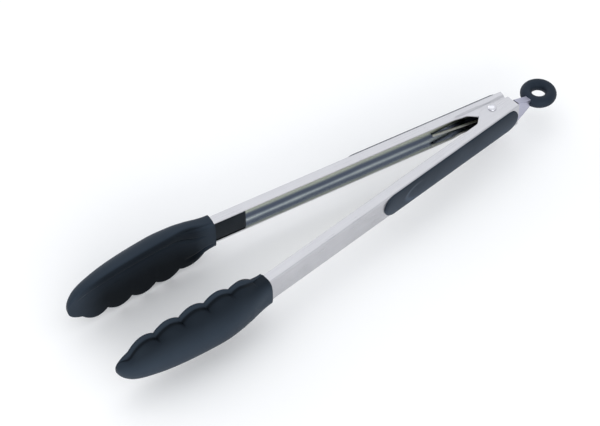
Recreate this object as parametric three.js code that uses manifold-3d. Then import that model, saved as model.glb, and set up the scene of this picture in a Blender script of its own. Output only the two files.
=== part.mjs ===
import * as THREE from "three";
import { mergeVertices } from "three/addons/utils/BufferGeometryUtils.js";
import Module from "manifold-3d";

const wasm = await Module();
wasm.setup();

// Spring loaded kitchen tongs lying on their side, in mm. The rivet stands along Z, the heads point
// to -X and the hanging ring to +X. Local stations: s runs from the rivet to the head, t points away
// from the other arm, z runs along the rivet.

// Overall
const openAngle = 5.34; // half of the angle between the arms at rest, in degrees
const armHeight = 16; // across the two flanges
const collarS = 178.2; // where the arm enters the head
const headLength = 91.9;

// Arms: one C channel of sheet steel each
const sheet = 0.8;
const bendRadius = 0.9;
const webAtRivet = 9.07; // rivet axis to the web's outer face
const webAtCollar = 12.2;
const flangeWidth = 6.2;
const armEndS = 189;
const nearTailS = -13.2;
const farTailS = -11.6;
const lugReach = 3.3; // how far a hinge lug passes the rivet axis
const lugFrontS = 15;
const nestStep = 1.05; // the far arm's lugs are set in by this much, under the near arm's
const nestT = 5.6; // where the set-in starts, and how wide its ramp is
const nestRamp = 1.1;

// Hinge
const rivetR = 1.7;
const rivetHeadR = 2.5;
const rivetDome = 1.3;
const runningGap = 0.06;
const spacerR = 2.9;
const spacerHalf = 4.9;

// Torsion spring
const wireR = 0.8;
const coilR = 4;
const coilTurns = 3.5;
const coilPitch = 1.75;
const springLegS = 35;

// Pull tab
const tabFrontS = 9.5;
const tabLegHalf = 6;
const tabWallT = 6.9;
const tabTravel = 5;
const tabSheet = 0.8;
const tabEndS = -28.2;
const tabEndHalf = 1.9;

// Hanging ring
const ringS = -34.4;
const ringT = 4.3;
const ringR = 7.24;
const ringTubeR = 3.4;

// Grips
const gripFrontS = 94;
const gripTailS = -12.2;
const gripHalf = 7.5;
const gripProud = 1.5;

// Heads
const collarHalf = 9.6;
const headHalf = 15.6;
const scallopHeight = 3.6;
const scallopCount = 5;
const scallopPitch = 15.3;
const tipNotchS = 262;
const lipWidth = 3;
const grooveDepth = 3.4; // inside each head, beside the plain edge
// Inner face across a head, from the scalloped edge at 1 to the plain edge at -1: share of grooveDepth
const padShape = [
  [1, 0],
  [0.75, 0.03],
  [0.45, 0.14],
  [0.1, 0.34],
  [-0.2, 0.55],
  [-0.45, 0.78],
  [-0.62, 1],
  [-0.74, 0.2],
  [-0.86, 0],
  [-1, 0],
];
const skinGap = 0.3;
const stemS = 158;
const coreEndS = 248;

const steel = { color: 0xbfc1c4, roughness: 0.3, metalness: 1 };
const wire = { color: 0xb5b7b6, roughness: 0.35, metalness: 1 };
const silicone = { color: 0x2b3642, roughness: 0.55, metalness: 0 };
const gripRubber = { color: 0x1c252e, roughness: 0.6, metalness: 0 };
const nylon = { color: 0x14171a, roughness: 0.5, metalness: 0 };

const rad = Math.PI / 180;

function smooth(edge0, edge1, x) {
  const u = Math.min(1, Math.max(0, (x - edge0) / (edge1 - edge0)));
  return u * u * (3 - 2 * u);
}

function mix(a, b, u) {
  return a + (b - a) * u;
}

// Straight lines through a list of [position, value] pairs
function along(pairs, x) {
  if (x >= pairs[0][0]) return pairs[0][1];
  for (let i = 1; i < pairs.length; i++) {
    const [x1, v1] = pairs[i];
    const [x0, v0] = pairs[i - 1];
    if (x >= x1) return mix(v0, v1, (x0 - x) / (x0 - x1));
  }
  return pairs[pairs.length - 1][1];
}

function signedVolume(geometry) {
  const p = geometry.attributes.position;
  const index = geometry.index.array;
  const a = new THREE.Vector3();
  const b = new THREE.Vector3();
  const c = new THREE.Vector3();
  let total = 0;
  for (let i = 0; i < index.length; i += 3) {
    a.fromBufferAttribute(p, index[i]);
    b.fromBufferAttribute(p, index[i + 1]);
    c.fromBufferAttribute(p, index[i + 2]);
    total += a.dot(b.cross(c)) / 6;
  }
  return total;
}

function makeGeometry(points, triangles) {
  const geometry = new THREE.BufferGeometry();
  geometry.setAttribute("position", new THREE.Float32BufferAttribute(points, 3));
  geometry.setIndex(triangles);
  if (signedVolume(geometry) < 0) {
    for (let i = 0; i < triangles.length; i += 3) {
      [triangles[i], triangles[i + 1]] = [triangles[i + 1], triangles[i]];
    }
    geometry.setIndex(triangles);
  }
  return geometry;
}

// Skin over closed [t, z] outlines at stations s, with both ends filled
function loft(stations, outline) {
  const rings = stations.map((s) => outline(s));
  const count = rings[0].length;
  const points = [];
  rings.forEach((ring, k) => ring.forEach(([t, z]) => points.push(-stations[k], -t, z)));
  const triangles = [];
  for (let k = 0; k + 1 < rings.length; k++) {
    for (let i = 0; i < count; i++) {
      const a = k * count + i;
      const b = k * count + ((i + 1) % count);
      triangles.push(a, b, b + count, a, b + count, a + count);
    }
  }
  const cap = (ring, base) => {
    const flat = ring.map(([t, z]) => new THREE.Vector2(t, z));
    for (const face of THREE.ShapeUtils.triangulateShape(flat, [])) triangles.push(...face.map((i) => base + i));
  };
  cap(rings[0], 0);
  cap(rings[rings.length - 1], (rings.length - 1) * count);
  return orient(points, triangles);
}

// Faces follow their neighbours, then the whole body is turned to face out
function orient(points, triangles) {
  const edges = new Map();
  const key = (a, b) => (a < b ? `${a}_${b}` : `${b}_${a}`);
  const count = triangles.length / 3;
  const corners = (f) => [triangles[3 * f], triangles[3 * f + 1], triangles[3 * f + 2]];
  for (let f = 0; f < count; f++) {
    const [a, b, c] = corners(f);
    for (const [p, q] of [[a, b], [b, c], [c, a]]) {
      if (!edges.has(key(p, q))) edges.set(key(p, q), []);
      edges.get(key(p, q)).push([f, p, q]);
    }
  }
  const seen = new Uint8Array(count);
  const flip = new Uint8Array(count);
  const queue = [0];
  seen[0] = 1;
  while (queue.length > 0) {
    const f = queue.pop();
    const [a, b, c] = corners(f);
    for (const [p, q] of [[a, b], [b, c], [c, a]]) {
      for (const [g, gp] of edges.get(key(p, q))) {
        if (g === f || seen[g]) continue;
        seen[g] = 1;
        flip[g] = gp === p ? 1 - flip[f] : flip[f];
        queue.push(g);
      }
    }
  }
  for (let f = 0; f < count; f++) {
    if (!flip[f]) continue;
    [triangles[3 * f], triangles[3 * f + 1]] = [triangles[3 * f + 1], triangles[3 * f]];
  }
  return makeGeometry(points, triangles);
}

function solid(geometry) {
  const bare = new THREE.BufferGeometry();
  bare.setAttribute("position", geometry.attributes.position.clone());
  if (geometry.index) bare.setIndex(geometry.index.clone());
  const merged = mergeVertices(bare, 1e-5);
  return new wasm.Manifold(
    new wasm.Mesh({
      numProp: 3,
      vertProperties: new Float32Array(merged.attributes.position.array),
      triVerts: new Uint32Array(merged.index.array),
    })
  );
}

function geometryOf(body) {
  const mesh = body.getMesh();
  const geometry = new THREE.BufferGeometry();
  const points = [];
  for (let i = 0; i < mesh.vertProperties.length; i += mesh.numProp) {
    points.push(mesh.vertProperties[i], mesh.vertProperties[i + 1], mesh.vertProperties[i + 2]);
  }
  geometry.setAttribute("position", new THREE.Float32BufferAttribute(points, 3));
  geometry.setIndex(Array.from(mesh.triVerts));
  return geometry;
}

function cut(geometry, ...tools) {
  let body = solid(geometry);
  for (const tool of tools) body = body.subtract(solid(tool));
  return geometryOf(body);
}

// Round bar along Z at station s, offset t
function bar(radius, height, s, t) {
  const geometry = new THREE.CylinderGeometry(radius, radius, height, 48);
  geometry.rotateX(Math.PI / 2);
  geometry.translate(-s, -t, 0);
  return geometry;
}

function block(s0, s1, t0, t1, z0, z1) {
  const geometry = new THREE.BoxGeometry(Math.abs(s1 - s0), Math.abs(t1 - t0), Math.abs(z1 - z0));
  geometry.translate(-(s0 + s1) / 2, -(t0 + t1) / 2, (z0 + z1) / 2);
  return geometry;
}

function webT(s) {
  return mix(webAtRivet, webAtCollar, s / collarS);
}

// Inner edge of a flange: a plain edge along the arm that widens into the rounded lug at the hinge
function flangeEdge(s, tailS) {
  const plain = webT(s) - flangeWidth;
  if (s >= lugFrontS) return plain;
  return along(
    [
      [lugFrontS, plain],
      [9.7, -0.7],
      [7, -2.3],
      [4.3, -lugReach],
      [-2, -lugReach],
      [tailS, -0.2 * lugReach],
    ],
    s
  );
}

// C channel outline: web at t0, flanges to t1, half height h, with flanges set in by step beyond stepT
function channel(t0, t1, h, thick, bend, step, stepT) {
  const outer = [];
  const inner = [];
  outer.push([t1, h - step]);
  outer.push([Math.max(t1 + 0.05, stepT - nestRamp), h - step]);
  outer.push([Math.max(t1 + 0.1, stepT), h]);
  for (let i = 0; i <= 4; i++) {
    const a = (i / 4) * (Math.PI / 2);
    outer.push([t0 - bend + bend * Math.sin(a), h - bend + bend * Math.cos(a)]);
  }
  inner.push([t1, h - step - thick]);
  inner.push([Math.max(t1 + 0.05, stepT - nestRamp + 0.1), h - step - thick]);
  inner.push([Math.max(t1 + 0.1, stepT + 0.1), h - thick]);
  const r = bend - thick;
  for (let i = 0; i <= 4; i++) {
    const a = (i / 4) * (Math.PI / 2);
    inner.push([t0 - bend + r * Math.sin(a), h - bend + r * Math.cos(a)]);
  }
  const down = (list) => list.map(([t, z]) => [t, -z]).reverse();
  return [...outer, ...down(outer), ...down(inner).reverse(), ...inner.slice().reverse()];
}

function arm(tailS, step) {
  const stations = [armEndS, 160, 120, 80, 40, 26, 21, 17, lugFrontS, 13.2, 11.4, 9.7, 7, 4.3, 1, -2, -6, -9];
  stations.push(tailS + 0.8, tailS);
  const geometry = loft(stations, (s) => {
    const set = step * (1 - smooth(17, 25, s));
    return channel(webT(s), flangeEdge(s, tailS), armHeight / 2, sheet, bendRadius, set, nestT);
  });
  return cut(geometry, bar(rivetR + runningGap, armHeight + 4, 0, 0));
}

function rivet() {
  const half = armHeight / 2 + 0.03;
  const points = [[0, -half - rivetDome]];
  for (let i = 1; i <= 4; i++) {
    const a = (i / 4) * (Math.PI / 2);
    points.push([rivetHeadR * Math.sin(a), -half - rivetDome * Math.cos(a)]);
  }
  points.push([rivetR, -half], [rivetR, half]);
  for (let i = 4; i >= 1; i--) {
    const a = (i / 4) * (Math.PI / 2);
    points.push([rivetHeadR * Math.sin(a), half + rivetDome * Math.cos(a)]);
  }
  points.push([0, half + rivetDome]);
  const geometry = new THREE.LatheGeometry(points.map(([r, z]) => new THREE.Vector2(r, z)), 48);
  geometry.rotateX(Math.PI / 2);
  return geometryOf(solid(geometry));
}

function spacer() {
  const tube = bar(spacerR, 2 * spacerHalf, 0, 0);
  return cut(tube, bar(rivetR + runningGap, 3 * spacerHalf, 0, 0));
}

// Coil round the spacer with one leg against each web's inner face
function spring() {
  const points = [];
  const rise = coilPitch * coilTurns;
  const legT = webT(springLegS) - sheet - wireR - 0.1;
  const open = openAngle * rad;
  const legX = -springLegS * Math.cos(open) + legT * Math.sin(open);
  const legY = springLegS * Math.sin(open) + legT * Math.cos(open);
  for (const u of [0, 0.25, 0.5, 0.75, 0.93]) {
    points.push(new THREE.Vector3(legX * (1 - u), mix(-legY, -coilR, u), rise / 2));
  }
  const steps = Math.round(coilTurns * 16);
  for (let i = 0; i <= steps; i++) {
    const u = i / steps;
    const a = -Math.PI / 2 + u * coilTurns * 2 * Math.PI;
    points.push(new THREE.Vector3(coilR * Math.cos(a), coilR * Math.sin(a), rise / 2 - rise * u));
  }
  for (const u of [0.07, 0.25, 0.5, 0.75, 1]) {
    points.push(new THREE.Vector3(legX * u, mix(coilR, legY, u), -rise / 2));
  }
  const path = new THREE.CatmullRomCurve3(points);
  const corners = [];
  for (let i = 0; i < 8; i++) {
    const a = (i / 8) * 2 * Math.PI;
    corners.push(new THREE.Vector2(wireR * Math.cos(a), wireR * Math.sin(a)));
  }
  const section = new THREE.Shape(corners);
  const geometry = new THREE.ExtrudeGeometry(section, { steps: 100, extrudePath: path, bevelEnabled: false });
  return geometryOf(solid(geometry));
}

// Pull tab: flat legs round the rivet inside the arms, then a tapered channel that carries the ring
function tabSection(s) {
  const half = along(
    [[-13.3, tabLegHalf], [-13.9, armHeight / 2 - 0.1], [-24.5, 2.9], [tabEndS, tabEndHalf]],
    s
  );
  const outer = along([[-13.3, tabWallT], [-13.9, 7.7], [-24.5, 7.1], [tabEndS, 6.9]], s);
  const inner = along([[-10.5, -3], [-13.3, 3.5], [-13.9, 3.2], [-24.5, 2.6], [tabEndS, 2.6]], s);
  return channel(outer, inner, half, tabSheet, tabSheet + 0.4, 0, inner + 0.3);
}

function pullTab() {
  const stations = [tabFrontS, 0, -6, -10.5, -12, -13.3, -13.6, -13.9, -16, -18, -21, -24.5, tabEndS];
  const geometry = loft(stations, tabSection);
  const slotR = rivetR + 0.25;
  const slot = [
    bar(slotR, armHeight, 0, 0),
    bar(slotR, armHeight, tabTravel, 0),
    block(0, tabTravel, -slotR, slotR, -armHeight / 2, armHeight / 2),
    block(-2, tabFrontS + 1, 3.4, tabWallT + 1, -armHeight / 2, armHeight / 2),
  ];
  return cut(geometry, ...slot);
}

function hangingRing() {
  const geometry = new THREE.TorusGeometry(ringR, ringTubeR, 12, 36);
  geometry.translate(-ringS, -ringT, 0);
  const pocket = loft([-23, -24.5, tabEndS - 0.3], (s) => {
    const t = [7.4, 7.5, 7.5, 7.4, 2.3, 2.2, 2.2, 2.3];
    const h = along([[-24.5, 3.2], [tabEndS, tabEndHalf + 0.3]], s);
    const z = [h - 0.2, h - 0.4, 0.4 - h, 0.2 - h, 0.2 - h, 0.4 - h, h - 0.4, h - 0.2];
    return t.map((value, i) => [value, z[i]]);
  });
  return cut(geometry, pocket);
}

// Soft pad along the web, round at both ends and crowned across
function grip() {
  const stations = [];
  const ends = [0.02, 0.14, 0.32, 0.55, 0.8, 1.1];
  for (const e of ends) stations.push(gripFrontS - e * gripHalf + 0.1);
  for (const u of [0.25, 0.5, 0.75]) stations.push(mix(gripFrontS - gripHalf, gripTailS + gripHalf, u));
  for (const e of ends.slice().reverse()) stations.push(gripTailS + e * gripHalf - 0.1);
  return loft(stations, (s) => {
    const fromEnd = Math.min(gripFrontS - s, s - gripTailS);
    const e = Math.max(0, 1 - fromEnd / gripHalf);
    const half = Math.max(0.6, gripHalf * Math.sqrt(Math.max(0, 1 - e * e)));
    const base = webT(s) + 0.05;
    const rise = gripProud * Math.min(1, 0.35 + 1.1 * (half / gripHalf));
    const outline = [];
    for (let i = 0; i <= 10; i++) {
      const z = -half + (2 * half * i) / 10;
      const crown = Math.pow(Math.max(0, 1 - Math.pow(Math.abs(z) / half, 3.2)), 0.5);
      outline.push([base + 0.35 + (rise - 0.35) * crown, z]);
    }
    outline.push([base, half], [base, -half]);
    return outline;
  });
}

// Head outlines, with x from 0 at the collar to 1 at the tip
function headX(s) {
  return (s - collarS) / headLength;
}

function rimT(x) {
  return 6.5 - 8.3 * Math.pow(Math.max(0, (x - 0.15) / 0.85), 1.1);
}

function headDepth(x) {
  return 1.2 + (6.9 + 5.9 * smooth(0, 0.4, x)) * Math.sqrt(Math.max(0, 1 - Math.pow(x, 4)));
}

function headWidth(x) {
  const body = mix(collarHalf, headHalf, smooth(0, 0.25, x));
  return 0.8 + (body - 0.8) * Math.sqrt(Math.max(0, 1 - Math.pow(x, 5)));
}

function scallop(s) {
  const u = (tipNotchS - s) / scallopPitch;
  if (u <= 0 || u >= scallopCount) return 0;
  return scallopHeight * Math.pow(Math.abs(Math.sin(u * Math.PI)), 0.8) * (u > scallopCount - 1 ? 0.8 : 1);
}

function skinOutline(s) {
  const x = headX(s);
  const rim = rimT(x);
  const depth = headDepth(x);
  const high = headWidth(x) + scallop(s);
  const low = headWidth(x) * mix(1, 0.87, smooth(0, 0.3, x) * (1 - smooth(0.8, 1, x)));
  const lip = Math.min(lipWidth, 0.3 * headWidth(x));
  const bulge = 2.4 * (1 - smooth(0.14, 0.26, x));
  const open = smooth(0.14, 0.3, x) * (1 - smooth(0.72, 0.95, x));
  const outline = [];
  for (let i = 0; i <= 12; i++) {
    const a = -Math.PI / 2 + (i / 12) * Math.PI;
    const width = Math.sin(a) > 0 ? high : low;
    outline.push([rim + depth * Math.pow(Math.max(0, Math.cos(a)), 0.75), width * Math.sin(a)]);
  }
  for (const [u, raised] of padShape) {
    const width = u > 0 ? high - lip : low;
    const c = Math.sqrt(Math.max(0, 1 - u * u));
    outline.push([rim - 0.3 - bulge * Math.pow(c, 0.3) + open * grooveDepth * raised, width * u]);
  }
  return outline;
}

// Stiff core: a stem that fills the channel and a blade inside the head's back wall
function coreOutline(s, grow) {
  const blade = smooth(186, 206, s);
  const stemMid = webT(Math.min(s, armEndS)) - sheet - 0.3 - 2.3;
  const bladeMid = rimT(headX(s)) + headDepth(headX(s)) - 2.9;
  const mid = mix(stemMid, bladeMid, blade);
  const thick = mix(2.3, 0.9, blade) + grow;
  const half = mix(6.7, mix(4.5, 2.2, smooth(206, coreEndS, s)), blade) + grow;
  const c = 0.5;
  return [
    [mid - thick, half - c],
    [mid - thick + c, half],
    [mid + thick - c, half],
    [mid + thick, half - c],
    [mid + thick, c - half],
    [mid + thick - c, -half],
    [mid - thick + c, -half],
    [mid - thick, c - half],
  ];
}

function headCore() {
  return loft([stemS, armEndS - 3, 190, 194, 198, 202, 206, 216, 227, 238, coreEndS], (s) => coreOutline(s, 0));
}

function headSkin() {
  const stations = [];
  const count = 42;
  for (let i = 0; i <= count; i++) {
    const u = i / count;
    stations.push(collarS + headLength * (u < 0.9 ? u : 0.9 + 0.1 * Math.sin(((u - 0.9) / 0.1) * (Math.PI / 2))));
  }
  const body = loft(stations, skinOutline);
  const pocketS = [collarS - 2, armEndS - 2, 190, 194, 198, 202, 206, 216, 227, 238, coreEndS + skinGap];
  const corePocket = loft(pocketS, (s) => coreOutline(s, skinGap));
  const t0 = webT(armEndS) - flangeWidth - skinGap - 0.2;
  const armPocket = block(collarS - 2, armEndS + 0.6, t0, webT(armEndS) + skinGap, -armHeight / 2 - skinGap,
    armHeight / 2 + skinGap);
  return cut(body, corePocket, armPocket);
}

const object = new THREE.Group();
object.name = "kitchen_tongs";

function add(name, geometry, look, side) {
  const placed = geometry;
  if (side === "far") placed.rotateX(Math.PI);
  if (side === "far") placed.rotateZ(-openAngle * rad);
  if (side === "near") placed.rotateZ(openAngle * rad);
  placed.computeVertexNormals();
  const mesh = new THREE.Mesh(placed, new THREE.MeshStandardMaterial(look));
  mesh.name = name;
  object.add(mesh);
}

add("near_arm", arm(nearTailS, 0), steel, "near");
add("far_arm", arm(farTailS, nestStep), steel, "far");
add("near_grip", grip(), gripRubber, "near");
add("far_grip", grip(), gripRubber, "far");
add("near_head_core", headCore(), nylon, "near");
add("far_head_core", headCore(), nylon, "far");
add("near_head_skin", headSkin(), silicone, "near");
add("far_head_skin", headSkin(), silicone, "far");
add("hinge_rivet", rivet(), steel, "middle");
add("hinge_spacer", spacer(), steel, "middle");
add("torsion_spring", spring(), wire, "middle");
add("pull_tab", pullTab(), steel, "near");
add("hanging_ring", hangingRing(), silicone, "near");

// The origin is under the middle of the whole object, at the level of its lowest point
const box = new THREE.Box3();
for (const mesh of object.children) {
  mesh.geometry.computeBoundingBox();
  box.union(mesh.geometry.boundingBox);
}
const shift = [-(box.min.x + box.max.x) / 2, -(box.min.y + box.max.y) / 2, -box.min.z];
for (const mesh of object.children) mesh.geometry.translate(...shift);

export default object;
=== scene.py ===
import math

import bmesh
import bpy
import numpy as np
from mathutils import Matrix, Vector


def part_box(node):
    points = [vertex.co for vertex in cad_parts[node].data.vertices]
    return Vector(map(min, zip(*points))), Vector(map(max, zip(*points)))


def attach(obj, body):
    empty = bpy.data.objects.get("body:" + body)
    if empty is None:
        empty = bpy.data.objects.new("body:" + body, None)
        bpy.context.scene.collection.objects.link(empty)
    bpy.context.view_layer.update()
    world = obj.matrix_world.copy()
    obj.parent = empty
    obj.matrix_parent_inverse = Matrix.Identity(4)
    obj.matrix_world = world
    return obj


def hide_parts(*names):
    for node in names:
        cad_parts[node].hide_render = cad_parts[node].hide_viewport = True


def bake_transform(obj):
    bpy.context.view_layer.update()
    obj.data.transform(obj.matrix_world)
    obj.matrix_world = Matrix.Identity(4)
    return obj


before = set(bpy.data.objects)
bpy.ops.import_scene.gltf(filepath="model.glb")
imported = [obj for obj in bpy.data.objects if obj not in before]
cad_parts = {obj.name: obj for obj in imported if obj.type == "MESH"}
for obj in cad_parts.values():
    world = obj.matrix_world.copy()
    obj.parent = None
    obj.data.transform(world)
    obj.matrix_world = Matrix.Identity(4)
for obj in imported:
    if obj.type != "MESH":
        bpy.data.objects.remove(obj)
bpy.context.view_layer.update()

# Lengths below are in millimetres. Stations: s from the rivet to the head, t away from the
# other arm, z along the rivet.
overall = {"openAngle": 5.34, "armHeight": 16.0, "collarS": 178.2, "headLength": 91.9}

rivetLow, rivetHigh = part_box("hinge_rivet")
rivetAt = [(a + b) / 2 for a, b in zip(rivetLow, rivetHigh)]
openTurn = math.radians(overall["openAngle"])


def smooth(low, high, x):
    # 3u^2 - 2u^3 between low and high, flat outside
    u = np.clip((np.asarray(x, float) - low) / (high - low), 0, 1)
    return u * u * (3 - 2 * u)


def mix(a, b, u):
    return a + (b - a) * u


def place(s, t, z, side):
    # The near side is turned by the open angle; the far side is the same part turned over about X
    s, t, z = np.broadcast_arrays(np.asarray(s, float), np.asarray(t, float), np.asarray(z, float))
    x = -s * math.cos(openTurn) + t * math.sin(openTurn)
    y = -s * math.sin(openTurn) - t * math.cos(openTurn)
    flip = -1 if side == "far" else 1
    points = np.stack([x, flip * y, flip * z], axis=-1) / 1000
    return points + np.array(rivetAt)


def buildObject(name, points, faces, smoothAngle=35, attributes=None):
    mesh = bpy.data.meshes.new(name)
    mesh.from_pydata(points.reshape(-1, 3).tolist(), [], faces)
    for label, values in (attributes or {}).items():
        layer = mesh.attributes.new(label, "FLOAT", "POINT")
        layer.data.foreach_set("value", np.asarray(values, np.float32).ravel())
    edit = bmesh.new()
    edit.from_mesh(mesh)
    bmesh.ops.remove_doubles(edit, verts=edit.verts, dist=1e-7)
    bmesh.ops.recalc_face_normals(edit, faces=edit.faces)
    edit.to_mesh(mesh)
    edit.free()
    mesh.shade_smooth()
    mesh.set_sharp_from_angle(angle=math.radians(smoothAngle))
    obj = bpy.data.objects.new(name, mesh)
    bpy.context.scene.collection.objects.link(obj)
    return obj


def gridFaces(rows, columns, closed=True):
    # Four-sided faces over a grid of rows, each row closed on itself unless told otherwise
    across = columns if closed else columns - 1
    i, j = np.meshgrid(np.arange(rows - 1), np.arange(across), indexing="ij")
    k = (j + 1) % columns
    quads = np.stack([i * columns + j, i * columns + k, (i + 1) * columns + k, (i + 1) * columns + j], -1)
    return quads.reshape(-1, 4).tolist()


def stripCap(start, count):
    # Closes an outline that goes out along one face and back along the other
    last = start + count - 1
    return [[start + i, start + i + 1, last - 1 - i, last - i] for i in range(count // 2 - 1)]


def loftFaces(rings, capped="strip"):
    # Sides between the rings, and an end cap over the first and the last
    rows, columns = rings.shape[:2]
    faces = gridFaces(rows, columns)
    last = (rows - 1) * columns
    if capped == "strip":
        faces += stripCap(0, columns) + stripCap(last, columns)
    if capped == "flat":
        faces += [list(range(columns)), list(range(last, last + columns))]
    return faces


def joinShells(shells):
    # Puts several (points, faces) pairs into one
    allPoints = []
    allFaces = []
    base = 0
    for points, faces in shells:
        flat = points.reshape(-1, 3)
        allPoints.append(flat)
        allFaces += [[base + v for v in face] for face in faces]
        base += len(flat)
    return np.concatenate(allPoints), allFaces


# Materials: two shared node groups, one for metal and one for rubber, and a look for each piece


def link(tree, source, target):
    tree.links.new(source, target)


def makeGroup(name, inputs, outputs):
    group = bpy.data.node_groups.new(name, "ShaderNodeTree")
    for label, kind, value in inputs:
        made = group.interface.new_socket(name=label, in_out="INPUT", socket_type=kind)
        if value is not None:
            made.default_value = value
    for label, kind in outputs:
        group.interface.new_socket(name=label, in_out="OUTPUT", socket_type=kind)
    return group, group.nodes.new("NodeGroupInput"), group.nodes.new("NodeGroupOutput")


def mathNode(tree, operation, *values):
    # Each value is a number or a socket to link
    node = tree.nodes.new("ShaderNodeMath")
    node.operation = operation
    for index, value in enumerate(values):
        if isinstance(value, (int, float)):
            node.inputs[index].default_value = value
        else:
            link(tree, value, node.inputs[index])
    return node.outputs[0]


def noiseNode(tree, vector, scale, detail):
    node = tree.nodes.new("ShaderNodeTexNoise")
    node.inputs["Detail"].default_value = detail
    link(tree, vector, node.inputs["Vector"])
    if isinstance(scale, (int, float)):
        node.inputs["Scale"].default_value = scale
    else:
        link(tree, scale, node.inputs["Scale"])
    return node.outputs["Fac"]


def mapNode(tree, value, fromRange, low, high):
    node = tree.nodes.new("ShaderNodeMapRange")
    node.inputs["From Min"].default_value, node.inputs["From Max"].default_value = fromRange
    link(tree, value, node.inputs["Value"])
    for label, end in (("To Min", low), ("To Max", high)):
        if isinstance(end, (int, float)):
            node.inputs[label].default_value = end
        else:
            link(tree, end, node.inputs[label])
    return node.outputs["Result"]


def mixNode(tree, factor, first, second):
    node = tree.nodes.new("ShaderNodeMix")
    node.data_type = "RGBA"
    link(tree, factor, node.inputs["Factor"])
    link(tree, first, node.inputs["A"])
    link(tree, second, node.inputs["B"])
    return node.outputs["Result"]


def attributeNode(tree, name):
    node = tree.nodes.new("ShaderNodeAttribute")
    node.attribute_name = name
    return node.outputs["Fac"]


noiseSpan = (0.3, 0.7)


def streakGroup():
    # Brushed metal: noise drawn out along X of the vector given moves between two tints and two
    # roughnesses; a painted reflection colour and Inner gloss take over where Inside is 1
    group, inside, outside = makeGroup(
        "brushedStreaksAndPaintedReflection",
        [("Vector", "NodeSocketVector", None), ("Stretch", "NodeSocketFloat", 0.03),
         ("Fineness", "NodeSocketFloat", 2600.0), ("Dark", "NodeSocketColor", (0, 0, 0, 1)),
         ("Light", "NodeSocketColor", (1, 1, 1, 1)), ("Rough Low", "NodeSocketFloat", 0.2),
         ("Rough High", "NodeSocketFloat", 0.4), ("Inside", "NodeSocketFloat", 0.0),
         ("Painted Reflection Color", "NodeSocketColor", (1, 1, 1, 1)), ("Inner Gloss", "NodeSocketFloat", 1.0)],
        [("Color", "NodeSocketColor"), ("Roughness", "NodeSocketFloat"), ("Height", "NodeSocketFloat")])
    given = inside.outputs
    combine = group.nodes.new("ShaderNodeCombineXYZ")
    combine.inputs[1].default_value = 1
    combine.inputs[2].default_value = 1
    link(group, given["Stretch"], combine.inputs[0])
    drawn = group.nodes.new("ShaderNodeVectorMath")
    drawn.operation = "MULTIPLY"
    link(group, given["Vector"], drawn.inputs[0])
    link(group, combine.outputs[0], drawn.inputs[1])
    fine = noiseNode(group, drawn.outputs[0], given["Fineness"], 3)
    broad = noiseNode(group, given["Vector"], 90, 2)
    mask = mathNode(group, "MULTIPLY_ADD", fine, 0.65, mathNode(group, "MULTIPLY", broad, 0.35))
    outer = mixNode(group, mask, given["Dark"], given["Light"])
    link(group, mixNode(group, given["Inside"], outer, given["Painted Reflection Color"]), outside.inputs["Color"])
    rough = mapNode(group, mask, noiseSpan, given["Rough Low"], given["Rough High"])
    gloss = mapNode(group, given["Inside"], (0, 1), 1, given["Inner Gloss"])
    link(group, mathNode(group, "MULTIPLY", rough, gloss), outside.inputs["Roughness"])
    link(group, fine, outside.inputs["Height"])
    return group


def rubberGroup():
    # Moulded rubber: fine grain over slow cloudy change; colour is multiplied by 1 + the painted light and
    # shade input
    group, inside, outside = makeGroup(
        "mouldedRubber",
        [("Vector", "NodeSocketVector", None), ("Dark", "NodeSocketColor", (0, 0, 0, 1)),
         ("Light", "NodeSocketColor", (1, 1, 1, 1)), ("Painted Light Shade", "NodeSocketFloat", 0.0),
         ("Grain", "NodeSocketFloat", 1800.0), ("Cloud", "NodeSocketFloat", 45.0),
         ("Rough Low", "NodeSocketFloat", 0.45), ("Rough High", "NodeSocketFloat", 0.6)],
        [("Color", "NodeSocketColor"), ("Roughness", "NodeSocketFloat"), ("Height", "NodeSocketFloat")])
    given = inside.outputs
    cloud = mapNode(group, noiseNode(group, given["Vector"], given["Cloud"], 4), noiseSpan, 0, 1)
    grain = noiseNode(group, given["Vector"], given["Grain"], 2)
    toned = group.nodes.new("ShaderNodeVectorMath")
    toned.operation = "SCALE"
    link(group, mixNode(group, cloud, given["Dark"], given["Light"]), toned.inputs[0])
    link(group, mathNode(group, "ADD", given["Painted Light Shade"], 1), toned.inputs["Scale"])
    link(group, toned.outputs[0], outside.inputs["Color"])
    rough = mapNode(group, grain, noiseSpan, given["Rough Low"], given["Rough High"])
    link(group, rough, outside.inputs["Roughness"])
    link(group, grain, outside.inputs["Height"])
    return group


streaks = streakGroup()
rubberGrain = rubberGroup()


def startMaterial(name, group, look, settings, bumpDistance):
    # Object coordinates through a turn, the shared group, and its three outputs into the shader
    material = bpy.data.materials.new(name)
    material.use_nodes = True
    tree = material.node_tree
    tree.nodes.clear()
    out = tree.nodes.new("ShaderNodeOutputMaterial")
    shader = tree.nodes.new("ShaderNodeBsdfPrincipled")
    link(tree, shader.outputs[0], out.inputs["Surface"])
    where = tree.nodes.new("ShaderNodeTexCoord")
    turn = tree.nodes.new("ShaderNodeMapping")
    link(tree, where.outputs["Object"], turn.inputs["Vector"])
    node = tree.nodes.new("ShaderNodeGroup")
    node.node_tree = group
    link(tree, turn.outputs[0], node.inputs["Vector"])
    for label, key in settings.items():
        value = look[key]
        node.inputs[label].default_value = (*value, 1) if isinstance(value, tuple) else value
    link(tree, node.outputs["Color"], shader.inputs["Base Color"])
    link(tree, node.outputs["Roughness"], shader.inputs["Roughness"])
    bump = tree.nodes.new("ShaderNodeBump")
    bump.inputs["Strength"].default_value = look["bump"]
    bump.inputs["Distance"].default_value = bumpDistance
    link(tree, node.outputs["Height"], bump.inputs["Height"])
    link(tree, bump.outputs[0], shader.inputs["Normal"])
    return material, tree, shader, turn, node


steelBump = 0.00005
rubberBump = 0.0001
rubberSheen = (0.65, 0.82, 1, 1)
tintSettings = {"Dark": "dark", "Light": "light", "Rough Low": "roughLow", "Rough High": "roughHigh"}


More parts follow.
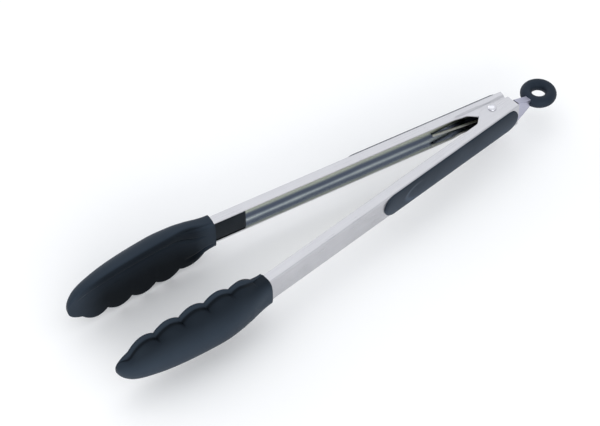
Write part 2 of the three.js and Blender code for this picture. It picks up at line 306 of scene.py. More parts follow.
def steelMaterial(name, look, turnZ=0.0):
    # Brushed metal: the Mapping node turns X along the arm, which the streaks follow
    settings = tintSettings | {"Stretch": "stretch", "Fineness": "fineness"}
    material, tree, shader, turn, node = startMaterial(name, streaks, look, settings, steelBump)
    turn.inputs["Rotation"].default_value = (0, 0, turnZ)
    shader.inputs["Metallic"].default_value = 1
    if "paintedReflectionBands" in look:
        # Inside the channel, reflections are painted into the colour as stripes from the lower lip to the
        # upper lip, a little
        # uneven along the arm: a ramp over the way round plus slow noise
        node.inputs["Inner Gloss"].default_value = look["insideGloss"]
        link(tree, attributeNode(tree, "inside"), node.inputs["Inside"])
        drift = mapNode(tree, noiseNode(tree, turn.outputs[0], look["bandDrift"], 2), noiseSpan,
                        -look["bandShift"], look["bandShift"])
        ramp = tree.nodes.new("ShaderNodeValToRGB")
        stops = ramp.color_ramp.elements
        for index, (position, colour) in enumerate(look["paintedReflectionBands"]):
            stop = stops[index] if index < 2 else stops.new(position)
            stop.position = position
            stop.color = (*colour, 1)
        link(tree, mathNode(tree, "ADD", attributeNode(tree, "wayRound"), drift), ramp.inputs["Fac"])
        link(tree, ramp.outputs["Color"], node.inputs["Painted Reflection Color"])
    return material


def rubberMaterial(name, look):
    settings = tintSettings | {"Grain": "grain", "Cloud": "cloud"}
    material, tree, shader, _, node = startMaterial(name, rubberGrain, look, settings, rubberBump)
    # Light and shade painted into the colour come from this per-point attribute
    link(tree, attributeNode(tree, "paintedLightShade"), node.inputs["Painted Light Shade"])
    shader.inputs["Specular IOR Level"].default_value = look["specular"]
    shader.inputs["Specular Tint"].default_value = rubberSheen
    return material


def register(obj, material, body, node):
    obj.data.materials.append(material)
    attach(obj, body)
    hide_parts(node)


# Arms: steel channels

armShape = {"sheet": 0.8, "bend": 0.9, "webAtRivet": 9.07, "webAtCollar": 12.2, "flange": 6.2,
            "endS": 189.0, "lugReach": 3.3, "lugFrontS": 15.0, "nearTailS": -13.2, "farTailS": -11.6,
            "nestStep": 1.05, "nestT": 5.6, "nestRamp": 1.1, "nestFromS": 17, "nestToS": 25}
armLook = {"dark": (0.44, 0.44, 0.465), "light": (0.65, 0.65, 0.675), "stretch": 0.02, "fineness": 2400,
           "roughLow": 0.24, "roughHigh": 0.4, "bump": 0.15, "insideGloss": 0.6, "bandShift": 0.02,
           "bandDrift": 25,
           # Painted reflections inside the channel: colours along the way round, from lip to lip
           "paintedReflectionBands": ((0.0, (0.86, 0.87, 0.84)), (0.2, (0.76, 0.78, 0.77)), (0.27, (0.34, 0.38, 0.42)),
                     (0.32, (0.09, 0.11, 0.16)), (0.4, (0.1, 0.12, 0.17)), (0.46, (0.4, 0.43, 0.39)),
                     (0.54, (0.52, 0.54, 0.43)), (0.62, (0.28, 0.29, 0.22)), (1.0, (0.3, 0.3, 0.3)))}
nearSteel = steelMaterial("nearArmSteel", armLook, -openTurn)
farSteel = steelMaterial("farArmSteel", armLook, openTurn)


def webT(s):
    # Straight line from the rivet to the collar
    return mix(armShape["webAtRivet"], armShape["webAtCollar"], np.asarray(s, float) / overall["collarS"])


def flangeEdge(s, tailS):
    # Plain edge that widens into the hinge lug, with its corners rounded by a running mean
    reach = armShape["lugReach"]
    front = armShape["lugFrontS"]
    fineS = np.arange(tailS - 3, overall["collarS"] + 15, 0.1)
    plain = webT(fineS) - armShape["flange"]
    frontEdge = float(webT(front)) - armShape["flange"]
    knots = [tailS, -2, 2.5, 4.3, 7, 9.7, front]
    values = [-0.2 * reach, -reach, -reach - 0.1, -reach, -2.5, -0.8, frontEdge]
    lug = np.interp(fineS, knots, values)
    raw = np.where(fineS > front, plain, lug)
    half = 6
    kernel = np.ones(2 * half + 1) / (2 * half + 1)
    padded = np.concatenate([np.full(half, raw[0]), raw, np.full(half, raw[-1])])
    return np.interp(s, fineS, np.convolve(padded, kernel, mode="valid"))


def channelRings(s, webOut, edge, half, sheet, bend, step, side):
    # Rounded C outline carried along s: rounded lip, flange with its set-in, bend, web, and back inside
    given = np.broadcast_arrays(s, webOut, edge, half, step)
    s, webOut, edge, half, step = [np.asarray(v, float)[:, None] for v in given]
    r = sheet / 2
    lipAngle = np.radians(np.linspace(180, 90, 5))[None, :]
    outLip = (edge + r + r * np.cos(lipAngle), half - step - r + r * np.sin(lipAngle))
    inLip = (edge + r + r * np.cos(lipAngle), half - step - r - r * np.sin(lipAngle))
    u = np.linspace(0, 1, 17)[None, 1:]
    span = (webOut - bend) - (edge + r)
    flangeT = edge + r + span * u
    set0 = step * (1 - smooth(armShape["nestT"] - armShape["nestRamp"], armShape["nestT"], flangeT))
    outFlange = (flangeT, half - set0)
    inFlange = (flangeT, half - set0 - sheet)
    bendAngle = np.radians(np.linspace(0, 90, 8))[None, 1:]
    centreT = webOut - bend
    centreZ = half - bend
    inner = bend - sheet
    outBend = (centreT + bend * np.sin(bendAngle), centreZ + bend * np.cos(bendAngle))
    inBend = (centreT + inner * np.sin(bendAngle), centreZ + inner * np.cos(bendAngle))
    upOut = [np.concatenate([a, b, c], axis=1) for a, b, c in zip(outLip, outFlange, outBend)]
    upIn = [np.concatenate([a, b, c], axis=1) for a, b, c in zip(inLip, inFlange, inBend)]
    webSteps = np.linspace(1, -1, 7)[None, 1:-1]
    webOutT = webOut + 0 * webSteps
    webInT = webOut - sheet + 0 * webSteps
    webZ = centreZ * webSteps
    outT = np.concatenate([upOut[0], webOutT, upOut[0][:, ::-1]], axis=1)
    outZ = np.concatenate([upOut[1], webZ, -upOut[1][:, ::-1]], axis=1)
    inT = np.concatenate([upIn[0], webInT, upIn[0][:, ::-1]], axis=1)
    inZ = np.concatenate([upIn[1], webZ, -upIn[1][:, ::-1]], axis=1)
    t = np.concatenate([outT, inT[:, ::-1]], axis=1)
    z = np.concatenate([outZ, inZ[:, ::-1]], axis=1)
    return place(np.repeat(s, t.shape[1], axis=1), t, z, side)


def makeArm(name, side, tailS, step, material, body, node):
    # Close stations at the hinge lugs, wide ones along the plain channel. The inside attribute marks
    # the faces within the channel; wayRound runs from 0 at the lower lip to 1 at the upper lip
    a = armShape
    s = np.concatenate([np.arange(tailS, 27, 0.3), np.linspace(27.5, a["endS"], 70)])
    stepNow = step * (1 - smooth(a["nestFromS"], a["nestToS"], s))
    rings = channelRings(s, webT(s), flangeEdge(s, tailS), overall["armHeight"] / 2, a["sheet"], a["bend"],
                         stepNow, side)
    count = rings.shape[1] // 2
    lipPoints = 4
    inside = np.zeros(rings.shape[:2])
    inside[:, count + lipPoints:-lipPoints] = 1
    steps = np.linalg.norm(np.diff(rings[:, :count], axis=1), axis=2)
    along = np.concatenate([0 * steps[:, :1], np.cumsum(steps, axis=1)], axis=1)
    wayRound = along / along[:, -1:]
    wayRound = 1 - wayRound if side == "near" else wayRound
    wayRound = np.concatenate([wayRound, wayRound[:, ::-1]], axis=1)
    obj = buildObject(name, rings, loftFaces(rings), 40, {"inside": inside, "wayRound": wayRound})
    register(obj, material, body, node)


makeArm("nearArm", "near", armShape["nearTailS"], 0, nearSteel, "near_side", "near_arm")
makeArm("farArm", "far", armShape["farTailS"], armShape["nestStep"], farSteel, "far_side", "far_arm")
print("arms made")

# Grips

# The grip's shading values are painted light: a painted highlight round the thumb rest, and painted light
# and shade across the pad
gripShape = {"frontS": 94.0, "tailS": -12.2, "half": 7.5, "proud": 1.5, "edge": 0.35, "crownPower": 3.2,
             "thumbS": 66.0, "thumbDepth": 0.4, "thumbLength": 14.0, "thumbHalf": 6.4, "thumbLow": 0.6,
             "thumbHighlight": 0.8, "lowPaintedLight": 0.25, "highPaintedShade": -0.3}
gripLook = {"dark": (0.024, 0.032, 0.045), "light": (0.034, 0.044, 0.06), "grain": 2600, "cloud": 60,
            "roughLow": 0.48, "roughHigh": 0.6, "bump": 0.1, "specular": 0.16}
gripRubber = rubberMaterial("gripRubber", gripLook)


def makeGrip(name, side, body, node):
    # Round-ended pad: the half height is sqrt(1 - e^2) towards the ends, the crown across it is
    # (1 - |v|^crownPower)^0.5, and the thumb rest is a shallow step with a round front edge that
    # runs out towards the rivet
    g = gripShape
    endSteps = 1 - np.cos(np.linspace(0.02, math.pi / 2, 24))
    middle = np.linspace(g["tailS"] + g["half"] + 1, g["frontS"] - g["half"] - 1, 160)
    s = np.concatenate([g["tailS"] + g["half"] * endSteps, middle,
                        (g["frontS"] - g["half"] * endSteps)[::-1]])
    fromEnd = np.minimum(g["frontS"] - s, s - g["tailS"])
    e = np.clip(1 - fromEnd / g["half"], 0, 1)
    half = (g["half"] * np.sqrt(1 - e * e))[:, None]
    v = np.sin(np.linspace(-math.pi / 2, math.pi / 2, 33))[None, :]
    base = webT(s)[:, None] - 0.05
    crown = np.sqrt(np.clip(1 - np.abs(v) ** g["crownPower"], 0, 1))
    rise = g["proud"] * np.minimum(1, 0.45 + 0.9 * half / g["half"])
    reach = np.hypot((s[:, None] - g["thumbS"]) / g["thumbLength"],
                     (v * half + g["thumbLow"]) / g["thumbHalf"])
    within = smooth(g["thumbS"] - 4, g["thumbS"] + 8, s[:, None])
    dimple = g["thumbDepth"] * (1 - smooth(0.72, 1.0, reach)) * within
    # Painted highlight: a lighter crescent round the edge of the thumb rest
    crescentHighlight = np.exp(-((reach - 0.84) / 0.12) ** 2) * within * smooth(-0.95, -0.5, -v)
    # Painted light and shade: lighter towards one edge of the pad, darker towards the other (lower and
    # upper on the near grip), plus that highlight
    paintedLightShade = mix(g["lowPaintedLight"], g["highPaintedShade"], smooth(-1, 1, v)) + g["thumbHighlight"] * crescentHighlight
    top = base + g["edge"] + (rise - g["edge"]) * crown - dimple
    t = np.concatenate([base, top, base], axis=1)
    z = np.concatenate([-half, v * half, half], axis=1)
    rings = place(np.repeat(s[:, None], t.shape[1], axis=1), t, z, side)
    paintedLightShade = np.concatenate([0 * paintedLightShade[:, :1], paintedLightShade, 0 * paintedLightShade[:, :1]], axis=1)
    obj = buildObject(name, rings, loftFaces(rings, "flat"), 50, {"paintedLightShade": paintedLightShade})
    register(obj, gripRubber, body, node)


makeGrip("nearGrip", "near", "near_side", "near_grip")
makeGrip("farGrip", "far", "far_side", "far_grip")
print("grips made")

# Heads

headShape = {"collarHalf": 9.6, "half": 15.6, "plainSide": 0.87,
             "scallop": 3.6, "scallops": 5, "pitch": 15.3, "tipNotchS": 262.0, "lastScallop": 0.8,
             "swellShare": 0.62, "lip": 2.8, "lipRise": 2.4, "lipRoll": 0.45, "lipDip": 0.55,
             "groove": 3.4, "grooveAt": -0.63, "crease": 3.2, "creaseWidth": 0.085, "heel": 1.1,
             "bulge": 2.4, "edge": 1.7, "face": 0.3, "backAngle": 70.0,
             "stations": 260, "tipFrom": 0.86}
# Painted shade on the heads: how much darker each region's colour is made, standing in for shade
headPaintedShade = {"plain": -0.12, "back": -0.62, "crease": -0.85, "lip": -0.15, "bead": -0.68, "under": -0.5,
             "pad": -0.85, "groove": -1.0}
headLook = {"dark": (0.022, 0.031, 0.044), "light": (0.029, 0.04, 0.056), "grain": 2200, "cloud": 30,
            "roughLow": 0.46, "roughHigh": 0.56, "bump": 0.05, "specular": 0.1}
headSilicone = rubberMaterial("headSilicone", headLook)


def rimT(x):
    return 6.5 - 8.3 * np.clip((x - 0.15) / 0.85, 0, None) ** 1.1


def headDepth(x):
    return 1.2 + (6.9 + 5.9 * smooth(0, 0.4, x)) * np.sqrt(np.clip(1 - x ** 4, 0, 1))


def headWidth(x):
    body = mix(headShape["collarHalf"], headShape["half"], smooth(0, 0.25, x))
    return 0.8 + (body - 0.8) * np.sqrt(np.clip(1 - x ** 5, 0, 1))


def scallopAt(s):
    # |sin|^0.8 bumps between the notches, and a smooth swell of the same mean height
    u = (headShape["tipNotchS"] - s) / headShape["pitch"]
    count = headShape["scallops"]
    inside = (u > 0) & (u < count)
    last = np.where(u > count - 1, headShape["lastScallop"], 1.0)
    bumps = np.where(inside, headShape["scallop"] * np.abs(np.sin(u * math.pi)) ** 0.8 * last, 0.0)
    ends = smooth(-0.3, 0.7, u) * (1 - smooth(count - 1, count + 0.4, u))
    swell = headShape["scallop"] * headShape["swellShare"] * ends
    return bumps, swell


def headRings(side):
    # Section round the head: back from the plain edge to the crease, turned-out scalloped lip, flat
    # rim, pad with a groove beside the plain edge, bead, and the rounded plain edge. Stations run
    # evenly and then crowd towards the tip as a sine. x is 0 at the collar and 1 at the tip
    h = headShape
    paintedShade = headPaintedShade
    u = np.linspace(0, 1, h["stations"])
    tipFrom = h["tipFrom"]
    tipPart = np.sin((u - tipFrom) / (1 - tipFrom) * math.pi / 2)
    x = np.where(u < tipFrom, u, tipFrom + (1 - tipFrom) * tipPart)
    sColumn = (overall["collarS"] + overall["headLength"] * x)[:, None]
    x = x[:, None]
    rim = rimT(x)
    depth = headDepth(x)
    width = headWidth(x)
    bumps, swell = scallopAt(sColumn)
    size = np.minimum(1, width / 9)
    lip = h["lip"] * size
    shaped = smooth(0.02, 0.16, x) * (1 - smooth(0.93, 1.0, x))
    square = 1 - smooth(0.0, 0.2, x)
    high = width + bumps
    low = width * mix(1, h["plainSide"], smooth(0, 0.3, x) * (1 - smooth(0.8, 1, x)))
    creaseT = rim + mix(0.05, h["lipRise"], shaped) * size
    edge = mix(0.6, h["edge"], shaped) * size

    # The back: a superellipse over the plain half, then over the scalloped half down to the crease
    a = np.linspace(-math.pi / 2, 0, 31)[None, :]
    backZ = low * np.sign(np.sin(a)) * np.abs(np.sin(a)) ** (1 - 0.4 * square)
    backT = rim + edge + (depth - edge) * np.clip(np.cos(a), 0, 1) ** (0.78 - 0.36 * square)
    most = np.radians(mix(h["backAngle"], 90.0, square * np.ones_like(x)))
    v = np.linspace(0, 1, 37)[None, 1:]
    angle = v * most
    rise = (np.sin(angle) / np.sin(most)) ** (1 - 0.4 * square)
    fall = np.clip((np.cos(angle) - np.cos(most)) / (1 - np.cos(most)), 0, 1) ** (0.9 - 0.48 * square)
    upZ = (width + swell - lip * shaped) * rise + (bumps - swell) * smooth(0.7, 1, v) * rise
    upT = creaseT + (rim + depth - creaseT) * fall

    # The lip: a slightly hollow band out from the crease, then a small roll into the rim
    band = np.linspace(0, 1, 8)[None, 1:]
    dip = h["lipDip"] * (1 - band) * np.sin(np.minimum(band * 2.2, 1) * math.pi) * shaped
    lipZ = high - 0.12 * size
    rollR = h["lipRoll"] * size
    bandT = mix(creaseT, rim + rollR, band) - dip
    bandZ = mix(high - lip * shaped, lipZ, band) - dip
    roll = np.radians(np.linspace(0, 90, 6))[None, 1:]
    rollT = rim - h["face"] * np.sin(roll) * size + rollR * np.cos(roll)
    rollZ = lipZ - rollR * (1 - np.cos(roll)) * 0.8

    # The inner face: w is 1 at the scalloped side and -1 at the plain side. It slopes down to the
    # groove, a bell-shaped crease is cut there, and a steep wall with a bead closes it

    inner = high - 0.8 * size
    w = np.linspace(1, -1, 121)[None, :]
    leaf = np.sin(np.clip((x - 0.06) / 0.74, 0, 1) * math.pi) ** 0.8
    grooveAt = h["grooveAt"] + 0.2 * (1 - smooth(0.05, 0.42, x))
    slope = np.clip((1 - w) / (1 - grooveAt), 0, 1) ** 1.7
    wall = 1 - smooth(-0.02, 0.16, grooveAt - w)
    hollow = smooth(0.1, 0.34, x) * (1 - smooth(0.66, 0.95, x))
    raised = np.where(w > grooveAt, slope, wall)
    bead = np.sin(np.clip((grooveAt - w) / (1 + grooveAt), 0, 1) * math.pi) ** 0.7 * 0.5 * hollow
    spread = np.where(w > grooveAt, 2.0, 0.6) * h["creaseWidth"] * (0.35 + 0.65 * leaf)
    notch = h["crease"] * leaf * np.exp(-((w - grooveAt) / spread) ** 2)
    heelRun = np.sin(np.clip((x - 0.01) / 0.2, 0, 1) * math.pi)
    heel = h["heel"] * heelRun * np.exp(-((w - 0.62) / 0.09) ** 2)
    across = np.sqrt(np.clip(1 - w * w, 0, 1))
    bulge = h["bulge"] * (1 - smooth(0.1, 0.26, x)) * across ** 0.3
    padT = rim - h["face"] - bulge + h["groove"] * hollow * raised - bead + notch + heel
    padZ = np.where(w > 0, inner * w, (low - edge) * w)

    over = np.radians(np.linspace(0, 90, 9))[None, 1:-1]
    overT = rim - h["face"] + (edge + h["face"]) * (1 - np.cos(over))
    overZ = -(low - edge) - edge * np.sin(over)

    t = np.concatenate([backT, upT, bandT, rollT, padT, overT], axis=1)
    z = np.concatenate([backZ, upZ, bandZ, rollZ, padZ, overZ], axis=1)
    one = np.ones_like(x)
    # Painted shade: darker in the crease, over the back beside it and on the pad, plain at the tip and
    # collar
    dark = shaped * (1 - smooth(0.72, 1.0, x))
    below = w - grooveAt
    facePaintedShade = mix(paintedShade["under"], paintedShade["pad"], smooth(0.15, 1.1, below))
    facePaintedShade = mix(facePaintedShade, paintedShade["groove"], leaf * (1 - smooth(0.02, 0.2, below)))
    upPaintedShade = paintedShade["back"] * smooth(0.05, 0.85, v) * (1 - 0.5 * smooth(0.8, 1, x))
    paintedLightShade = np.concatenate([
        paintedShade["plain"] * (1 - smooth(-1.45, -0.75, a)) * one,
        mix(upPaintedShade, paintedShade["crease"], smooth(0.93, 1, v) * shaped),
        mix(paintedShade["crease"], paintedShade["lip"], smooth(0.0, 0.45, band)) * shaped,
        paintedShade["lip"] * (1 - smooth(0.3, 1.6, roll)) * shaped,
        np.where(below > -0.02, facePaintedShade, paintedShade["bead"]) * dark,
        mix(paintedShade["bead"] * dark, paintedShade["plain"] * one, smooth(0.5, 1.3, over))], axis=1)
    return place(np.repeat(sColumn, t.shape[1], axis=1), t, z, side), paintedLightShade


def makeHead(name, side, body, node):
    rings, paintedLightShade = headRings(side)
    obj = buildObject(name, rings, loftFaces(rings, "flat"), 60, {"paintedLightShade": paintedLightShade})
    register(obj, headSilicone, body, node)


makeHead("nearHead", "near", "near_side", "near_head_skin")
makeHead("farHead", "far", "far_side", "far_head_skin")
print("heads made")

# Cores: a stem that fills the channel, then a blade inside the head's back wall

coreShape = {"stemS": 158.0, "endS": 248.0, "corner": 0.8, "bladeFromS": 186, "bladeToS": 206}
coreLook = {"dark": (0.006, 0.008, 0.011), "light": (0.011, 0.014, 0.018), "grain": 1500, "cloud": 80,
            "roughLow": 0.4, "roughHigh": 0.55, "bump": 0.1, "specular": 0.15}
coreNylon = rubberMaterial("coreNylon", coreLook)


def makeCore(name, side, body, node):
    # Rounded rectangle that narrows and moves out to the back wall
    c = coreShape
    ends = c["stemS"] + np.array([0, 0.25, 0.6])
    s = np.concatenate([ends, np.linspace(c["stemS"] + 2, c["endS"], 60)])[:, None]
    x = (s - overall["collarS"]) / overall["headLength"]
    blade = smooth(c["bladeFromS"], c["bladeToS"], s)
    stemMid = webT(np.minimum(s, armShape["endS"])) - armShape["sheet"] - 2.6
    mid = mix(stemMid, rimT(x) + headDepth(x) - 2.9, blade)
    shrink = np.array([0.6, 0.15, 0] + [0] * 60)[:, None]
    thick = mix(2.3, 0.9, blade) - shrink
    half = mix(6.7, mix(4.5, 2.2, smooth(206, c["endS"], s)), blade) - shrink
    corner = np.minimum(c["corner"], thick * 0.8)
    angles = np.radians(np.linspace(0, 90, 5))
    t = []
    z = []
    for signT, signZ, start in ((1, 1, 0), (-1, 1, 90), (-1, -1, 180), (1, -1, 270)):
        turned = (angles + math.radians(start))[None, :]
        t.append(mid + signT * (thick - corner) + corner * np.cos(turned))
        z.append(signZ * (half - corner) + corner * np.sin(turned))
    t = np.concatenate(t, axis=1)
    z = np.concatenate(z, axis=1)
    rings = place(np.repeat(s, t.shape[1], axis=1), t, z, side)
    obj = buildObject(name, rings, loftFaces(rings, "flat"), 50)
    register(obj, coreNylon, body, node)


makeCore("nearCore", "near", "near_side", "near_head_core")
makeCore("farCore", "far", "far_side", "far_head_core")
print("cores made")

# Hinge: rivet, spacer and spring

hingeShape = {"shaft": 1.7, "head": 2.5, "dome": 1.3, "rim": 0.3, "spacerOut": 2.9, "spacerIn": 1.76,
              "spacerHalf": 4.9, "spacerEdge": 0.15}
rivetLook = {"dark": (0.66, 0.66, 0.7), "light": (0.8, 0.8, 0.84), "stretch": 1.0, "fineness": 900,
             "roughLow": 0.16, "roughHigh": 0.28, "bump": 0.05}
rivetSteel = steelMaterial("rivetSteel", rivetLook)


def spinRings(radius, height, count=64):
    # Profile of radius and height turned about the rivet axis
    turn = np.linspace(0, 2 * math.pi, count, endpoint=False)[None, :]
    r = np.asarray(radius, float)[:, None]
    z = np.repeat(np.asarray(height, float)[:, None], count, axis=1)
    points = np.stack([r * np.cos(turn), r * np.sin(turn), z], axis=-1) / 1000
    return points + np.array(rivetAt)


def makeRivet():
    # Domed head: radius sin, height cos of the same angle, with a small straight rim under it
    h = hingeShape
    seat = overall["armHeight"] / 2 + 0.02
    a = np.linspace(0.03, math.pi / 2, 14)
    domeR = h["head"] * np.sin(a)
    domeZ = seat + h["rim"] + (h["dome"] - h["rim"]) * np.cos(a)
    radius = np.concatenate([domeR, [h["head"], h["head"] - 0.1, h["shaft"]]])
    height = np.concatenate([domeZ, [seat + 0.1, seat, seat]])
    rings = spinRings(np.concatenate([radius, radius[::-1]]), np.concatenate([height, -height[::-1]]))
    obj = buildObject("rivet", rings, loftFaces(rings, "flat"), 40)
    register(obj, rivetSteel, "near_side", "hinge_rivet")


def makeSpacer():
    # Tube with broken outer edges
    bore, outer, top, edge = [hingeShape[k] for k in ("spacerIn", "spacerOut", "spacerHalf", "spacerEdge")]
    radius = [bore, outer - edge, outer, outer, outer - edge, bore, bore]
    height = [top, top, top - edge, edge - top, -top, -top, top]
    rings = spinRings(radius, height)
    obj = buildObject("spacer", rings, loftFaces(rings, None), 40)
    register(obj, rivetSteel, "near_side", "hinge_spacer")


makeRivet()
makeSpacer()

springShape = {"wire": 0.8, "coil": 4.0, "turns": 3.5, "pitch": 1.75, "legS": 35.0, "legGap": 0.1}
wireLook = {"dark": (0.55, 0.55, 0.5), "light": (0.75, 0.75, 0.7), "stretch": 0.2, "fineness": 1500,
            "roughLow": 0.25, "roughHigh": 0.4, "bump": 0.15}
wireSteel = steelMaterial("wireSteel", wireLook)


def tubeRings(path, radius, count=14):
    # Circle carried along a path, its first direction kept as upright as the path lets it be
    ahead = np.gradient(path, axis=0)
    ahead /= np.linalg.norm(ahead, axis=1)[:, None]
    upright = np.array([0.0, 0.0, 1.0]) - ahead * ahead[:, 2:3]
    upright /= np.linalg.norm(upright, axis=1)[:, None]
    across = np.cross(ahead, upright)
    turn = np.linspace(0, 2 * math.pi, count, endpoint=False)
    cos, sin = np.cos(turn)[None, :, None], np.sin(turn)[None, :, None]
    ring = upright[:, None, :] * cos + across[:, None, :] * sin
    return path[:, None, :] + radius[:, None, None] * ring


def makeSpring():
    # Helix round the spacer that leaves along two straight legs, one to the inside of each web
    p = springShape
    rise = p["pitch"] * p["turns"]
    legT = float(webT(p["legS"])) - armShape["sheet"] - p["wire"] - p["legGap"]
    legX = -p["legS"] * math.cos(openTurn) + legT * math.sin(openTurn)
    legY = p["legS"] * math.sin(openTurn) + legT * math.cos(openTurn)
    u = np.linspace(0, 1, 60)[:, None]
    first = np.concatenate([mix(legX, 0, u), mix(-legY, -p["coil"], u), 0 * u + rise / 2], axis=1)
    v = np.linspace(0, 1, 320)[1:-1]
    turn = -math.pi / 2 + v * p["turns"] * 2 * math.pi
    coil = np.stack([p["coil"] * np.cos(turn), p["coil"] * np.sin(turn), rise / 2 - rise * v], axis=1)
    last = np.concatenate([mix(0, legX, u), mix(p["coil"], legY, u), 0 * u - rise / 2], axis=1)
    path = np.concatenate([first, coil, last])
    kernel = np.ones(7) / 7
    inner = np.stack([np.convolve(path[:, k], kernel, mode="valid") for k in range(3)], axis=1)
    path = np.concatenate([path[:3], inner, path[-3:]])
    radius = np.full(len(path), p["wire"])
    radius[[0, -1]] = p["wire"] * 0.7
    rings = tubeRings(path / 1000, radius / 1000) + np.array(rivetAt)
    obj = buildObject("spring", rings, loftFaces(rings, "flat"), 50)
    obj.data.materials.append(wireSteel)
    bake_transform(obj)
    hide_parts("torsion_spring")


makeSpring()
print("hinge made")

# Pull tab and ring

# Sections are lists of (station, value); prongs are (first s, last s, first t, last t)
tabShape = {"sheet": 0.8, "bend": 0.9, "legHalf": 6.0, "endS": -28.2,
            "half": ((-28.2, 1.9), (-24.5, 2.9), (-13.9, 7.9), (-13.3, 6.0), (0, 6.0)),
            "outer": ((-28.2, 6.9), (-24.5, 7.1), (-13.9, 7.7), (-13.3, 6.9), (0, 6.9)),
            "edge": ((-28.2, 2.6), (-24.5, 2.6), (-13.9, 3.2), (-13.3, 3.5), (-10.5, -3.0), (0, -3.0)),
            "prongs": ((9.5, -4.0, -3.0, -2.3), (9.5, -4.0, 2.3, 3.4), (9.5, 7.8, -2.4, 2.4))}
tabLook = {"dark": (0.4, 0.4, 0.5), "light": (0.52, 0.52, 0.62), "stretch": 0.03, "fineness": 2400,
           "roughLow": 0.28, "roughHigh": 0.42, "bump": 0.25}
tabSteel = steelMaterial("tabSteel", tabLook, -openTurn)


def makeTab():
    # Channel that flares behind the arms and tapers to the ring, with flat prongs beside the rivet
    p = tabShape
    s = np.concatenate([np.linspace(-3.4, -10, 12), np.linspace(-10.2, -16, 90),
                        np.linspace(-16.4, p["endS"], 50)])
    half, outer, edge = [np.interp(s, *np.transpose(p[k])) for k in ("half", "outer", "edge")]
    rings = channelRings(s, outer, edge, half, p["sheet"], p["bend"], 0, "near")
    shells = [(rings, loftFaces(rings))]
    for z0 in (p["legHalf"] - p["sheet"], -p["legHalf"]):
        z1 = z0 + p["sheet"]
        for s0, s1, t0, t1 in p["prongs"]:
            prong = place([[s0] * 4, [s1] * 4], [[t0, t1, t1, t0]], [[z0, z0, z1, z1]], "near")
            shells.append((prong, loftFaces(prong, "flat")))
    points, faces = joinShells(shells)
    obj = buildObject("pullTab", points, faces, 40)
    register(obj, tabSteel, "tab", "pull_tab")


ringShape = {"s": -34.4, "t": 4.3, "radius": 7.24, "tube": 3.4}
ringLook = {"dark": (0.012, 0.017, 0.026), "light": (0.018, 0.025, 0.037), "grain": 2600, "cloud": 60,
            "roughLow": 0.46, "roughHigh": 0.58, "bump": 0.06, "specular": 0.16}
ringSilicone = rubberMaterial("ringSilicone", ringLook)


def makeRing():
    # Torus: a circle of the tube's radius carried round a circle in the plane of the arms
    p = ringShape
    turn = np.linspace(0, 2 * math.pi, 120, endpoint=False)[:, None]
    tube = np.linspace(0, 2 * math.pi, 56, endpoint=False)[None, :]
    reach = p["radius"] + p["tube"] * np.cos(tube)
    s = p["s"] + reach * np.cos(turn)
    t = p["t"] + reach * np.sin(turn)
    z = p["tube"] * np.sin(tube) + 0 * turn
    rings = place(s, t, z, "near")
    rings = np.concatenate([rings, rings[:1]])
    obj = buildObject("ring", rings, gridFaces(rings.shape[0], rings.shape[1]), 60)
    register(obj, ringSilicone, "tab", "hanging_ring")


makeTab()
makeRing()
print("tab and ring made")

# Floor, light and camera

# Lamps are (name, place in metres, width and height in metres, watts, colour); all face lampTarget
stageLook = {"floor": (0.98, 0.98, 0.98), "floorSize": 4.0, "floorDrop": 0.0004, "floorRough": 0.9,
             "floorShine": 0.1, "world": (0.95, 0.97, 1.0), "worldStrength": 0.9,
             "lampTarget": (0, 0, 0.02),
             "lamps": (("frontSoft", (-0.5, -1.4, 0.5), (1.8, 0.8), 10, (1, 0.99, 0.97)),
                       ("topSoft", (0.6, 1.0, 1.7), (2.2, 1.8), 5, (1, 1, 1)),
                       ("backStrip", (-0.3, 1.3, 0.45), (1.8, 0.5), 3, (1, 1, 1)))}


def makeFloor():
    # A flat grid just under the lowest point
    reach = np.linspace(-stageLook["floorSize"], stageLook["floorSize"], 9)
    x, y = np.meshgrid(reach, reach, indexing="ij")
    points = np.stack([x, y, 0 * x - stageLook["floorDrop"]], axis=-1)
    floor = buildObject("floor", points, gridFaces(9, 9, closed=False))
    material = bpy.data.materials.new("paleFloor")
    material.use_nodes = True
    shader = material.node_tree.nodes["Principled BSDF"]
    shader.inputs["Base Color"].default_value = (*stageLook["floor"], 1)
    shader.inputs["Roughness"].default_value = stageLook["floorRough"]
    shader.inputs["Specular IOR Level"].default_value = stageLook["floorShine"]
    floor.data.materials.append(material)


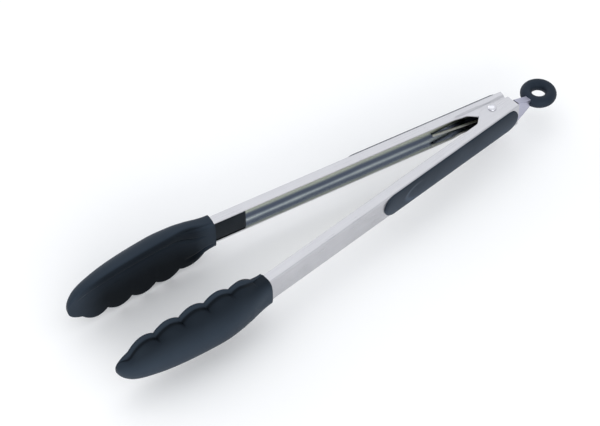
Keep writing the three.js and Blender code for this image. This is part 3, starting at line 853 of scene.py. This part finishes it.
def areaLight(name, at, size, power, colour):
    data = bpy.data.lights.new(name, "AREA")
    data.shape = "RECTANGLE"
    data.size, data.size_y = size
    data.energy = power
    data.color = colour
    light = bpy.data.objects.new(name, data)
    bpy.context.scene.collection.objects.link(light)
    away = np.array(at, float) - np.array(stageLook["lampTarget"], float)
    away /= np.linalg.norm(away)
    side = np.cross([0, 0, 1], away)
    side /= np.linalg.norm(side)
    up = np.cross(away, side)
    turn = Matrix([[side[k], up[k], away[k], at[k]] for k in range(3)] + [[0, 0, 0, 1]])
    light.matrix_world = turn


makeFloor()
world = bpy.data.worlds.new("studio")
world.use_nodes = True
world.node_tree.nodes["Background"].inputs["Color"].default_value = (*stageLook["world"], 1)
world.node_tree.nodes["Background"].inputs["Strength"].default_value = stageLook["worldStrength"]
bpy.context.scene.world = world
for lamp in stageLook["lamps"]:
    areaLight(*lamp)

cameraShape = {"offset": (-519.30, -535.88, 759.65), "yaw": 0.6214640, "pitch": 0.8498941,
               "roll": -0.0136073, "lens": 110.86, "sensor": 36, "clipStart": 0.05, "clipEnd": 20}


def makeCamera():
    # Looks down by the pitch, turned from +Y towards +X by the yaw; the place is counted from the rivet
    c = cameraShape
    yaw, pitch, roll = c["yaw"], c["pitch"], c["roll"]
    level = math.cos(pitch)
    ahead = np.array([math.sin(yaw) * level, math.cos(yaw) * level, -math.sin(pitch)])
    right = np.array([math.cos(yaw), -math.sin(yaw), 0.0])
    up = np.cross(right, ahead)
    rolledRight = right * math.cos(roll) + up * math.sin(roll)
    rolledUp = -right * math.sin(roll) + up * math.cos(roll)
    at = np.array(c["offset"]) / 1000 + np.array(rivetAt)
    data = bpy.data.cameras.new("camera")
    data.lens = c["lens"]
    data.sensor_width = c["sensor"]
    data.sensor_fit = "HORIZONTAL"
    data.clip_start = c["clipStart"]
    data.clip_end = c["clipEnd"]
    camera = bpy.data.objects.new("camera", data)
    bpy.context.scene.collection.objects.link(camera)
    camera.matrix_world = Matrix(
        [[rolledRight[k], rolledUp[k], -ahead[k], at[k]] for k in range(3)] + [[0, 0, 0, 1]])
    bpy.context.scene.camera = camera


makeCamera()
bpy.context.scene.view_settings.view_transform = "Standard"
print("stage made")
